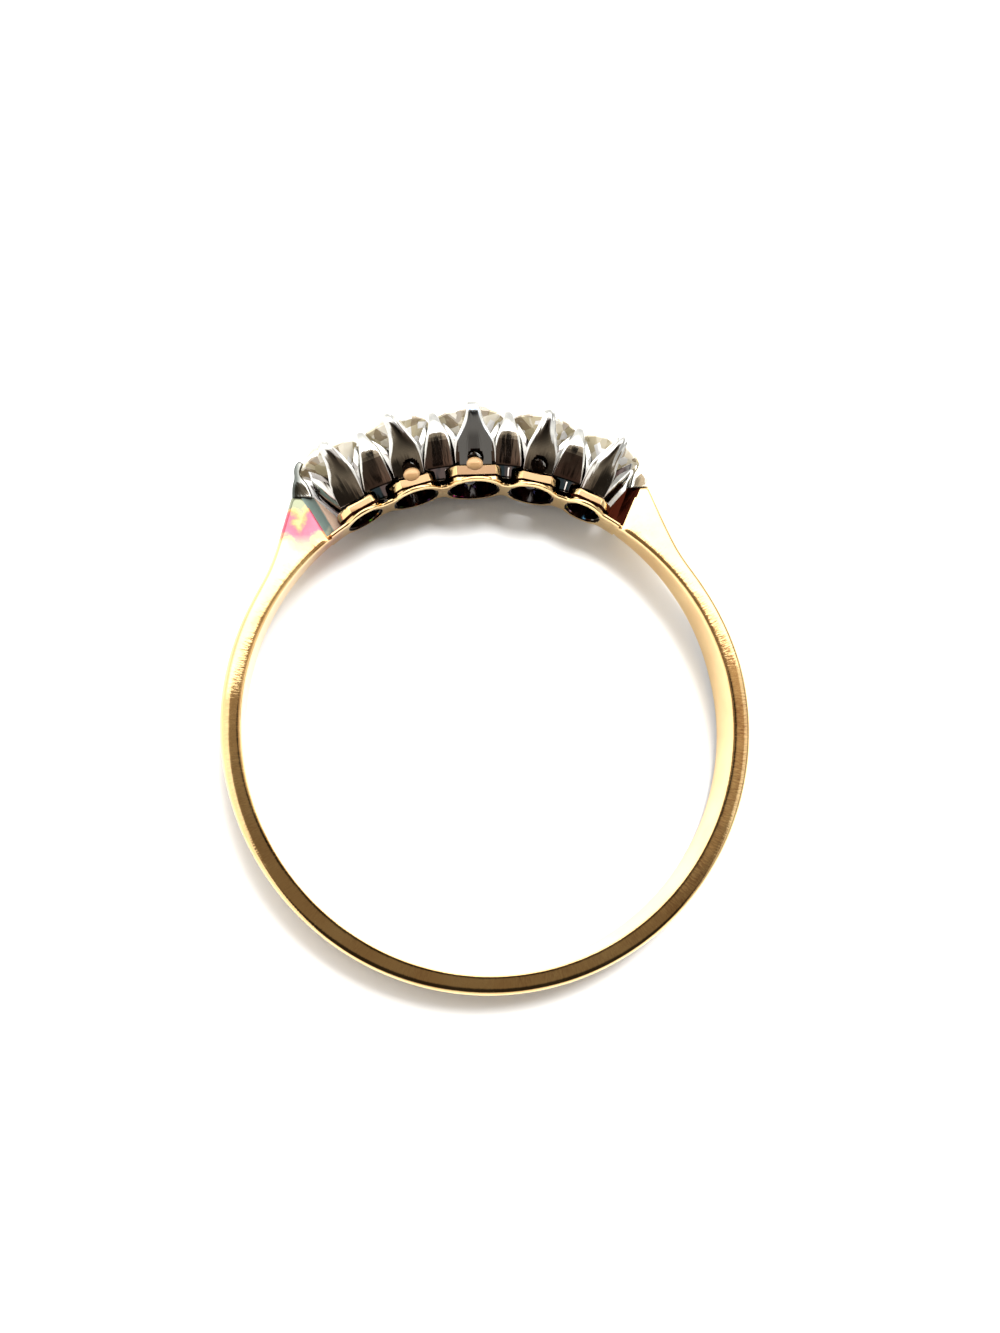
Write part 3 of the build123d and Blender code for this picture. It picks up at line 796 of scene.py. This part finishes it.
# %% Section carried up a path
def claw_grid(path, face, bevel, thickness, hollow=0.0, lean=0.0, twist=0.0, foot=0.0):
    """Loops of a claw. Path rows are (out, depth) of the face's middle line. Each loop has the flat face, a
    bevel beside it that falls by 0.45 of its width, and the back. Lean moves the upper half sideways, foot
    the lower half, and twist turns the face."""
    path = np.asarray(path, float)
    tangent = np.gradient(path, axis=0)
    tangent /= np.linalg.norm(tangent, axis=1)[:, None]
    normal = np.stack([-tangent[:, 1], tangent[:, 0]], -1)
    w, b, t = (np.asarray(v, float)[:, None] for v in (face, bevel, thickness))
    zero = np.zeros_like(w)
    edge = 0.02
    x = [zero, 0.5 * w, w - edge, w, w + 0.5 * b, w + b, w + b, w + b - edge, 0.7 * w, zero]
    fall = 0.45 * b
    deep = [hollow + zero, 0.75 * hollow + zero, zero, 0.2 * edge + zero, 0.5 * fall, fall, fall + edge,
            np.maximum(t, fall + 2 * edge), t + zero, t + zero]
    x, deep = np.concatenate(x, 1), np.concatenate(deep, 1)
    x = np.concatenate([x, -x[:, -2:0:-1]], 1)
    deep = np.concatenate([deep, deep[:, -2:0:-1]], 1) - twist * x
    y = path[:, :1] - deep * normal[:, :1]
    z = path[:, 1:] - deep * normal[:, 1:]
    share = (path[:, :1] - path[0, 0]) / (path[:, 0].max() - path[0, 0])
    x = x + lean * ease(share, 0.35, 1.0) + foot * (1 - ease(share, 0.0, 0.7))
    return np.stack([x, y, z], -1)


def ogee_width(out, start, stop, share):
    """Half width of a double curve: two tangent arcs, both ending straight up."""
    across, up = start[0] - stop[0], stop[1] - start[1]
    bend = 2 * np.arctan(across / up)
    total = up / np.sin(bend)
    first, second = share * total, (1 - share) * total
    low = start[0] - first + np.sqrt(np.clip(first**2 - np.clip(out - start[1], 0, None) ** 2, 0, None))
    high = stop[0] + second - np.sqrt(np.clip(second**2 - np.clip(stop[1] - out, 0, None) ** 2, 0, None))
    return np.where(out < start[1], start[0], np.where(out < start[1] + first * np.sin(bend), low, high))


# %% Front and back claws
# Where the path's loops lie: height above the collet's foot and share of the flare, then mm back from it
FRONT_PATH = np.array([
    (0.00, 0.00, 0.00), (0.05, 0.03, 0.00), (0.25, 0.14, 0.00), (0.45, 0.25, 0.00), (0.65, 0.36, 0.00),
    (0.85, 0.47, 0.00), (1.05, 0.58, 0.00), (1.25, 0.69, 0.00), (1.45, 0.80, 0.00), (1.65, 0.90, 0.00),
    (1.83, 0.98, 0.00), (1.98, 1.00, 0.00), (2.12, 1.00, 0.03), (2.26, 1.00, 0.11), (2.37, 1.00, 0.22),
    (2.43, 1.00, 0.33), (2.42, 1.00, 0.46), (2.36, 1.00, 0.56)])
# Each wide claw was filed and bent by hand: its lean, the hollow of its face, the turn of its face, its
# path's bulge and the shift of its foot
HAND_WORK = [(-0.12, -0.04, 0.10, 1.0, -0.20), (-0.30, -0.04, 0.06, 1.0, -0.12), (0.0, 0.0, 0.0, 0.0, 0.0),
             (0.02, -0.05, -0.04, 1.0, 0.0), (0.26, -0.09, -0.08, 1.0, 0.0)]


def front_claw(seat, lean, hollow, twist, bulge, foot):
    """Loops of a wide claw. Bulge is how far its path swells, as a sine, between the foot and the girdle."""
    start, girdle = base_depth(seat), seat.diameter / 2 + claw_standout
    height, flare, back = FRONT_PATH.T
    flare = flare + 0.14 * bulge * np.sin(np.pi * np.clip(height / 1.98, 0, 1))
    out = collet_foot + height
    path = np.stack([out, start + (girdle - start) * flare - back + hollow], -1)
    foot_end, neck = (seat.front * seat.diameter / 2, collet_foot + 0.42), (0.18, girdle_radius)
    face = ogee_width(out, foot_end, neck, 0.4)
    tip = np.array([1, 1, 1, 1, 1, 1, 1, 1, 1, 1, 1, 0.95, 0.92, 0.90, 0.85, 0.75, 0.55, 0.25])
    bevel = np.interp(height, [0, 0.4, 0.95, 1.3, 1.7, 2.0, 2.4], [0.02, 0.05, 0.11, 0.13, 0.11, 0.07, 0.05])
    thickness = np.interp(height, [0, 1.8, 2.3], [0.26, 0.28, 0.22]) * np.where(tip < 0.8, tip, 1)
    return claw_grid(path, face * tip - 0.01, bevel * tip, thickness, hollow, lean, twist, foot)


# %% [markdown]
# ## Claws between the stones
#
# In each gap, one pointed claw in front and one behind holds two stones. It is half round, like a leaf, wide
# at its foot, and stands on a narrow neck between the bases. Its upper half leans back over the stones, so
# it mirrors the bright side of the room while its foot is dark. The two on the left were set off centre.

# %% Leaf claws
# The loops of the path as for the front claws, but from 0.06 above the collet's foot. Then half the width at
# each loop, and how far each of the four leaves' feet is shifted sideways
LEAF_PATH = np.array([
    (-0.46, 0.00, -0.03), (-0.44, 0.00, -0.03), (-0.08, 0.00, -0.03), (-0.03, 0.00, 0.00),
    (0.00, 0.00, 0.02), (0.04, 0.01, 0.01), (0.14, 0.05, 0.0), (0.40, 0.22, 0.0), (0.70, 0.46, 0.0),
    (1.00, 0.72, 0.0), (1.25, 0.92, 0.0), (1.42, 1.00, 0.01), (1.60, 1.00, 0.05), (1.80, 1.00, 0.11),
    (2.00, 1.00, 0.19), (2.16, 1.00, 0.28), (2.26, 1.00, 0.38), (2.28, 1.00, 0.47)])
LEAF_WIDTH = np.array([0.18, 0.18, 0.18, 0.30, 0.50, 0.54, 0.56, 0.55, 0.52, 0.46, 0.39, 0.33, 0.27, 0.21,
                       0.17, 0.14, 0.11, 0.05])
LEAF_FOOT = [-0.22, -0.18, 0.0, 0.04]


def leaf_grid(seat, neighbour, foot):
    """Loops of a leaf: the same section as a wide claw's, but its face stands proud in the middle, and its
    bevels are wider, to a third of the half width."""
    foot_depth = (base_depth(seat) + base_depth(neighbour)) / 2 - 0.16
    girdle_depth = 0.80 * (seat.diameter + neighbour.diameter) / 4
    height, flare, back = LEAF_PATH.T
    depth = foot_depth + (girdle_depth - foot_depth) * flare - back
    path = np.stack([collet_foot + 0.06 + height, depth], -1)
    bevel = LEAF_WIDTH * np.interp(height, [0, 0.3, 1.0, 2.0], [0.06, 0.12, 0.22, 0.30])
    thickness = np.interp(height, [-0.08, 0, 1.9, 2.3], [0.12, 0.34, 0.30, 0.14])
    return claw_grid(path, LEAF_WIDTH - bevel, bevel, thickness, -0.06 * LEAF_WIDTH[:, None], foot=foot)


# %% [markdown]
# ## Claws on the shoulders
#
# At each end a split pair of claws stands on the shoulder's level top and leans over the outer stone.

# %% Shoulder claws
# Points (along, out) of a claw's outer and inner lines: four of each from the shoulder's corner, level with
# its top, and then five of each from the end stone's widest point, turned to its place
OUTER_FOOT = [(0.76, -0.08), (0.76, 0.0), (0.75, 0.22), (0.72, 0.44)]
INNER_FOOT = [(0.02, -0.08), (0.02, 0.0), (0.10, 0.22), (0.16, 0.44)]
OUTER_TIP = [(0.24, -0.10), (0.18, 0.10), (0.05, 0.26), (-0.10, 0.36), (-0.22, 0.38)]
INNER_TIP = [(0.03, -0.18), (-0.02, -0.02), (-0.12, 0.08), (-0.24, 0.16), (-0.30, 0.24)]
girdle_end = [end_radius, girdle_radius]
HALF_DEPTH = np.array([0.14, 0.14, 0.16, 0.18, 0.17, 0.16, 0.15, 0.13, 0.08])


def shoulder_claw_grid(z_shift):
    """Loops between the outer and the inner line, each a rounded bar: the square root of cos and sin."""
    outer, inner = (np.concatenate([corner + foot, beside_end_stone(*(np.array(tip) + girdle_end).T)])
                    for foot, tip in ((OUTER_FOOT, OUTER_TIP), (INNER_FOOT, INNER_TIP)))
    turn = np.linspace(0, 2 * np.pi, 12, endpoint=False)
    across, deep = (np.sign(wave) * np.abs(wave) ** 0.5 for wave in (np.cos(turn), np.sin(turn)))
    middle, reach = (outer + inner) / 2, (outer - inner) / 2
    flat = middle[:, None] + reach[:, None] * across[:, None]
    z = HALF_DEPTH[:, None] * deep + z_shift
    return np.concatenate([flat, z[..., None]], -1)


# %% Solder each coronet, with its holes drilled
claw_meshes = []
for (angle, seat), work in zip(ROW, HAND_WORK):
    front = with_flat_ends(front_claw(seat, *work), 0.03)
    for form in (front, front * [1, 1, -1]):
        claw_meshes.append(finished(form, angle, cutters=drills(angle, seat)))
    claw_meshes.append(finished(tube_grid(seat), angle, endless=True, levels=0, cutters=drills(angle, seat)))
for (angle, seat), (next_angle, neighbour), foot in zip(ROW, ROW[1:], LEAF_FOOT):
    leaf = swing(leaf_grid(seat, neighbour, foot), (angle + next_angle) / 2)
    claw_meshes += [finished(form, levels=1) for form in (leaf, leaf * [1, 1, -1])]
for z_shift in (0.31, -0.31):
    bar = with_flat_ends(shoulder_claw_grid(z_shift), 0.02)
    claw_meshes += [finished(form) for form in (bar, bar * [-1, 1, 1])]

# %% [markdown]
# ### Marks on the claws' faces
#
# Tips and edges stay bright, because they are rubbed. A flat face that looks forwards or backwards keeps a dark
# film lower down, partly tarnish and partly painted dark reflection. The necks between the bases and the
# insides of the coronets, which no light reaches, are painted black as shade. The middle claw is the lightest:
# it has only a dark wedge, and its face has a blue tint.

# %% Tarnish and painted shade on the claws' faces, and the whole setting
# How dark each face is, from the left: a wide claw, then a leaf, and so on to the last wide claw
FACE_DARKNESS = np.array([0.84, 0.84, 0.94, 0.86, 0.05, 0.80, 0.96, 0.90, 0.80])


def claw_marks(middles, normals):
    """The dark mark, partly tarnish and partly painted dark reflection, is full on the faces that look forwards
    or backwards and fades out below each claw's top. As painted shade it is full too on the necks, apart from a
    lighter streak that is a painted highlight, at each leaf's foot, inside the coronets and in the drilled
    holes, and none is on the shoulders' claws. Brown grows towards the foot, most on leaves. Blue is the middle
    claw's face."""
    gaps = [(angle + after) / 2 for (angle, seat), (after, neighbour) in zip(ROW, ROW[1:])]
    places = np.sort([angle for angle, seat in ROW] + gaps)
    angle, out = round_finger(middles)
    nearest = np.abs(angle[:, None] - places).argmin(axis=1)
    beside = (angle - places[nearest]) * np.radians(out)
    on_leaf, on_middle, on_last = nearest % 2 == 1, nearest == 4, nearest == 8
    flat_face = ease(np.abs(normals[:, 2]), 0.93, 0.97)
    top = np.where(on_leaf, collet_foot + 1.25, girdle_radius + 0.05)
    tarnish = FACE_DARKNESS[nearest] * flat_face * (1 - ease(out, top - 0.25, top))
    wedge = 1 - ease(np.abs(beside + 0.05), 0.12, 0.30)
    wedge = 0.5 * wedge * (1 - ease(out, collet_foot + 0.9, collet_foot + 1.3))
    tarnish += wedge * flat_face * on_middle
    tarnish += 0.2 * ease(beside, -0.1, 0.2) * (on_last & (tarnish > 0))
    tarnish[np.abs(angle) > end + 5.5] = 0.0
    # Painted shade on the necks, with a lighter streak as a painted highlight, and at each leaf's foot
    on_neck, streak = out < collet_foot, (beside > 0.05) & (beside < 0.09)
    tarnish[on_neck] = np.where(streak, 0.4, 1.3)[on_neck]
    tarnish[on_leaf & (out > collet_foot) & (out < collet_foot + 0.12)] = 1.2
    # Painted shade inside the coronets and in the drilled holes
    for place, seat in ROW:
        x, y, z = swing(middles, -place).T
        slope = (seat.diameter / 2 - base_depth(seat)) / collet_height
        outside = base_depth(seat) - collet_setback + (y - collet_foot) * slope
        inside = (np.hypot(x, z) < outside - 0.1) & (y < collet_top + 0.35) & (y > under_head)
        bored = seat.drilled & (np.hypot(x, y - drill_out) < drilled_hole / 2 + 0.012)
        tarnish[inside | bored] = 1.3
    brown = np.where(on_leaf, 0.45, 0.10) + 0.4 * (1 - ease(out, collet_foot, collet_foot + 0.9))
    brown[out < collet_foot + 0.12] = 0.0
    return dict(tarnish=tarnish, brown=brown, blue=flat_face * on_middle)


solder("claws_and_collets", claw_meshes, "claw_setting", platinum, claw_marks, crease=38)

# %% [markdown]
# ## The stones
#
# The facets of a stone are flat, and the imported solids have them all, so the stones keep their own meshes and
# only get the clear finish.

# %% Stones
for number in range(1, 6):
    stone = frame["nodes"][f"stone_{number}"]
    stone.material_slots[0].material = diamond

# %% [markdown]
# ## Floor, light and camera
#
# The ring lies on pale paper under one broad soft light from the upper right. The room above the camera is
# dark where the person who takes the picture stands, and the gold's brown face mirrors that. The world
# holds that room: bright all round, dark overhead on the near side.

# %% Floor
lowest = cad_box[0].z
# Half the sheet in metres, and its faint patches per metre
half_floor, mottle = 0.6, 60.0
paper, add = emptied(bpy.data.materials.new("matt_white_paper"))
place = add("TexCoord").outputs["Object"]
clouds = add("TexNoise", [("Vector", place)], Scale=mottle, Detail=4.0)
tones = add("ValToRGB", [("Fac", clouds)], stops=[(0.35, "#F1F3F4"), (0.65, "#F6F7F8")])
cover(paper, add, tones, Roughness=0.7)
mesh = bpy.data.meshes.new("floor")
corners = [(x * half_floor, y * half_floor, lowest) for x, y in ((-1, -1), (1, -1), (1, 1), (-1, 1))]
mesh.from_pydata(corners, [], [(0, 1, 2, 3)])
mesh.materials.append(paper)
floor = put("floor", mesh)

# %% [markdown]
# ### The room that the metal mirrors
#
# A direction from the ring has parts X to the right, Y away from the viewer and Z up. The window fills the
# upper far side, and its sill slopes a little. The dark cap on the near side is wider towards the horizon,
# where it is also darkest, and it has one dark spot overhead. The room is brighter on the left.

# %% World
# Each row names a value and works it out from those before. A step eases from one value to another: it has
# what it follows, the two places between which it eases, and its value at each.
ROOM = [
    ("sill", "MULTIPLY_ADD", "X", 0.045, "Y"),
    ("overhead", "step", "Z", 0.45, 0.65, 0.0, 1.0),
    ("far side", "step", "sill", 0.248, 0.262, 0.0, 1.0),
    ("window", "MULTIPLY", "overhead", "far side"),
    ("wall", "step", "X", -0.50, -0.35, 1.5, 1.15),
    ("right edge", "step", "X", 0.72, 0.80, 0.0, 1.0),
    ("below window", "step", "Z", 0.45, 0.55, 1.0, 0.0),
    ("dim corner", "MULTIPLY", "right edge", "below window"),
    ("horizon", "step", "Y", -0.30, -0.10, 1.0, 0.0),
    ("from right", "MULTIPLY_ADD", "horizon", -0.22, "X"),
    ("from left", "MULTIPLY_ADD", "horizon", 0.26, "X"),
    ("cap right", "step", "from right", 0.48, 0.56, 1.0, 0.0),
    ("cap left", "step", "from left", -0.42, -0.34, 0.0, 1.0),
    ("cap across", "MULTIPLY", "cap right", "cap left"),
    ("near side", "step", "sill", 0.248, 0.262, 1.0, 0.0),
    ("cap end", "step", "Y", -0.95, -0.85, 0.0, 1.0),
    ("cap along", "MULTIPLY", "near side", "cap end"),
    ("cap plan", "MULTIPLY", "cap along", "cap across"),
    ("cap height", "step", "Z", 0.15, 0.35, 0.0, 1.0),
    ("cap", "MULTIPLY", "cap plan", "cap height"),
    ("right glow", "step", "X", 0.20, 0.38, 0.0, 0.35),
    ("not low", "step", "Y", -0.16, 0.06, 0.0, 1.0),
    ("right part", "MULTIPLY", "right glow", "not low"),
    ("far part", "step", "Y", -0.02, 0.14, 0.0, 0.12),
    ("both parts", "ADD", "right part", "far part"),
    ("cap glow", "ADD", "both parts", 0.2),
    ("coat", "step", "Y", -0.46, -0.34, 0.12, 1.0),
    ("spot", "step", "from spot", 0.6, 1.2, 0.03, 1.0),
    ("in spot", "MULTIPLY", "spot", "coat"),
    ("cap strength", "MULTIPLY", "in spot", "cap glow"),
]
# The dark spot: its middle and half sizes, as parts X and Y of a direction
spot_x, spot_y, spot_half_x, spot_half_y = 0.13, 0.03, 0.15, 0.10

world, add = emptied(bpy.data.worlds.new("bright_room"))
scene.world = world
way = add("TexCoord").outputs["Generated"]
oval = add("Mapping", [("Vector", way)], Scale=(1 / spot_half_x, 1 / spot_half_y, 0),
           Location=(-spot_x / spot_half_x, -spot_y / spot_half_y, 0))
values = dict(add("SeparateXYZ", [("Vector", way)]).outputs.items())
values["from spot"] = add("VectorMath", [(0, oval)], operation="LENGTH")
for name, work, *given in ROOM:
    given = [values.get(value, value) for value in given]
    if work == "step":
        values[name] = add("MapRange", zip(SPAN, given), interpolation_type="SMOOTHSTEP")
    else:
        values[name] = add("Math", enumerate(given), operation=work)
level = values["wall"]
for share, strength in (("dim corner", 0.55), ("window", 3.4), ("cap", values["cap strength"])):
    level = add("Mix", zip(MIX, (values[share], level, strength)))
warm = add("Mix", zip(MIX, (values["cap"], linear("#FDFBF8"), linear("#FFE6C6"))), data_type="RGBA")
back = add("Background", [("Strength", level), ("Color", warm)])
add("OutputWorld", [("Surface", back)])
print(world.name, len(world.node_tree.nodes), "nodes")

# %% Light
lamp = bpy.data.lights.new("window", "AREA")
lamp.shape, lamp.size, lamp.size_y, lamp.energy = "RECTANGLE", 0.16, 0.12, 2.2
window = put("window", lamp)
window.location = (0.09, 0.19, 0.39)
window.rotation_euler = Vector(window.location).to_track_quat("Z", "Y").to_euler()
window.visible_glossy = window.visible_camera = False
print("window", [lamp.size, lamp.size_y], "m at", list(window.location))

# %% Camera
# The photograph's geometry, fitted to the ring's circles: its focal length in pixels, the ring's centre as
# the camera sees it in mm, the two slants of the finger axis and the turn of the head, in degrees
focal_pixels, long_side, sensor = 1000.0, 1333.0, 36.0
ring_seen = np.array([-0.28, -1.97, -35.75])
slant_x, slant_y, roll = np.radians([8.38, 9.66, -3.3])

axis = np.array([np.tan(slant_x), np.tan(slant_y), 1.0])
axis /= np.linalg.norm(axis)
level_way = np.cross([0, 1, 0], axis)
level_way /= np.linalg.norm(level_way)
head_way = np.cos(roll) * np.cross(axis, level_way) + np.sin(roll) * level_way
right_way = np.cross(head_way, axis)
view_ways = np.stack([right_way, head_way, axis])
viewpoint = lay(-view_ways @ ring_seen)
pose = np.eye(4)
pose[:3, :3] = lay(view_ways.T).T * 1000
pose[:3, 3] = viewpoint
lens = bpy.data.cameras.new("camera")
lens.sensor_width = sensor
lens.lens = sensor * focal_pixels / long_side
lens.clip_start, lens.clip_end = 0.001, 10.0
scene.camera = put("camera", lens)
scene.camera.matrix_world = Matrix(pose.tolist())
scene.view_settings.view_transform = "Standard"
print("camera at", [round(v * 1000, 1) for v in viewpoint], "mm")
